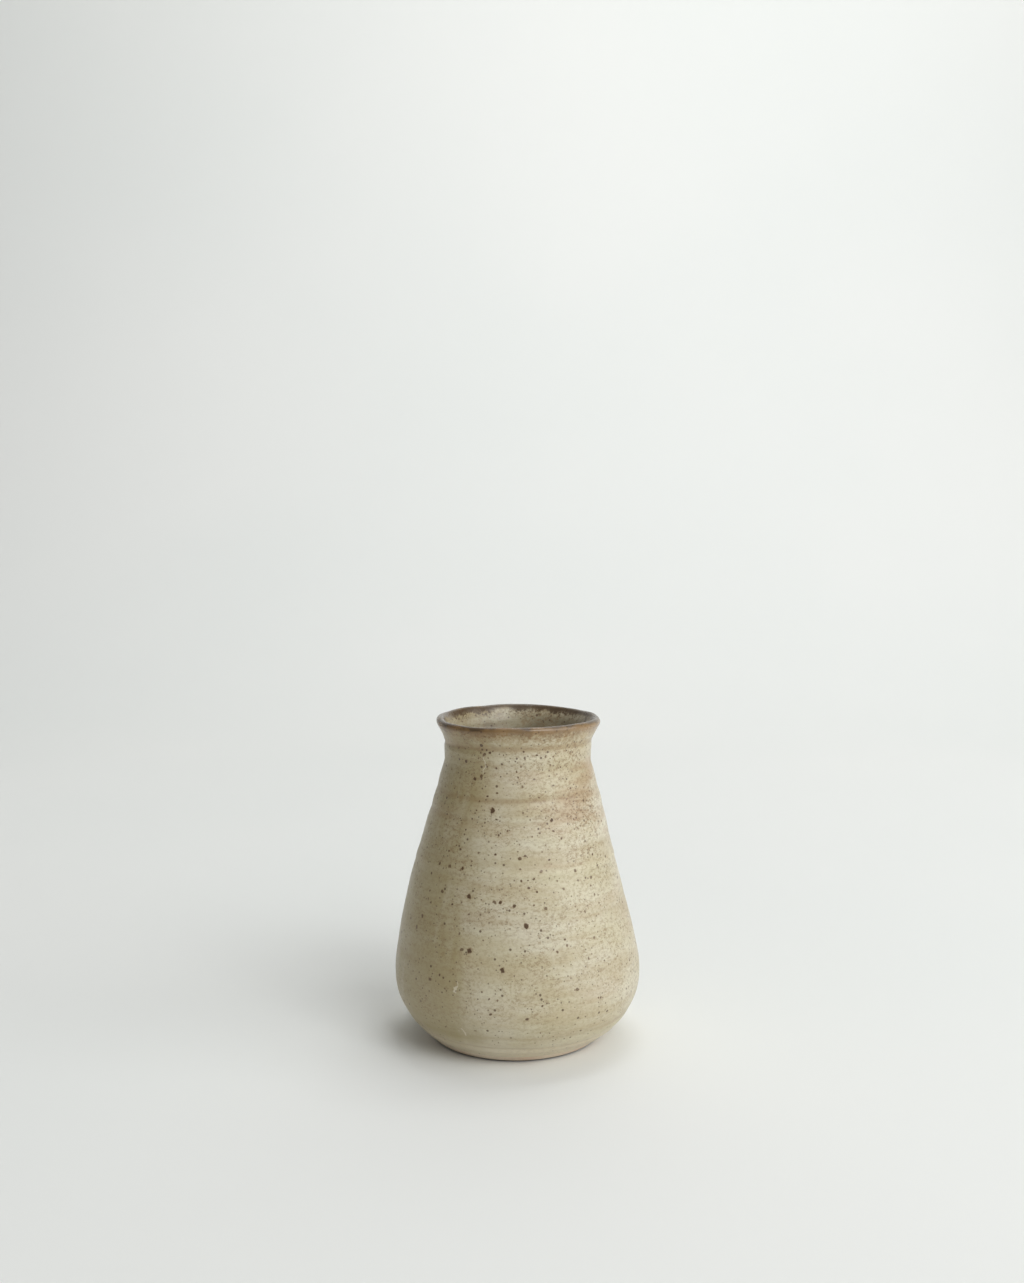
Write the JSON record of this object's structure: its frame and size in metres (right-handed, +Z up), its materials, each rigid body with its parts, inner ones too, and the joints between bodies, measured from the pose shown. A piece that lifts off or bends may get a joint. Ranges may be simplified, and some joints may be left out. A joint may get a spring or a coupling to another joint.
{
  "type": "bud vase",
  "caption": "Squat hand-thrown stoneware bud vase: low round belly, sides tapering to a short neck, flared rounded lip, bare trimmed foot. Holds a few short stems.",
  "frame": {"origin": "centre of the foot ring, on the surface that the vase stands on", "axes": "+Z up along the axis the vase was thrown on; -Y is the front, with the group of iron spots and the scar under the lip; +X to the right seen from the front"},
  "size_m": [0.092, 0.092, 0.12],
  "materials": {
    "bare_stoneware": "matte, smooth, pinkish grey fired clay",
    "oatmeal_glaze": "satin, olive beige with fine brown specks",
    "brown_lip_glaze": "satin, the same glaze broken to brown where it thinned over the lip",
    "liner_glaze": "satin, greenish beige with dark specks",
    "iron_spot": "satin, dark brown iron melted through the glaze"
  },
  "bodies": {
    "root": {"clay_body": "bare_stoneware", "outer_glaze": "oatmeal_glaze", "rim_glaze": "brown_lip_glaze", "liner_glaze": "liner_glaze", "iron_spots": "iron_spot"}
  },
  "joints": []
}
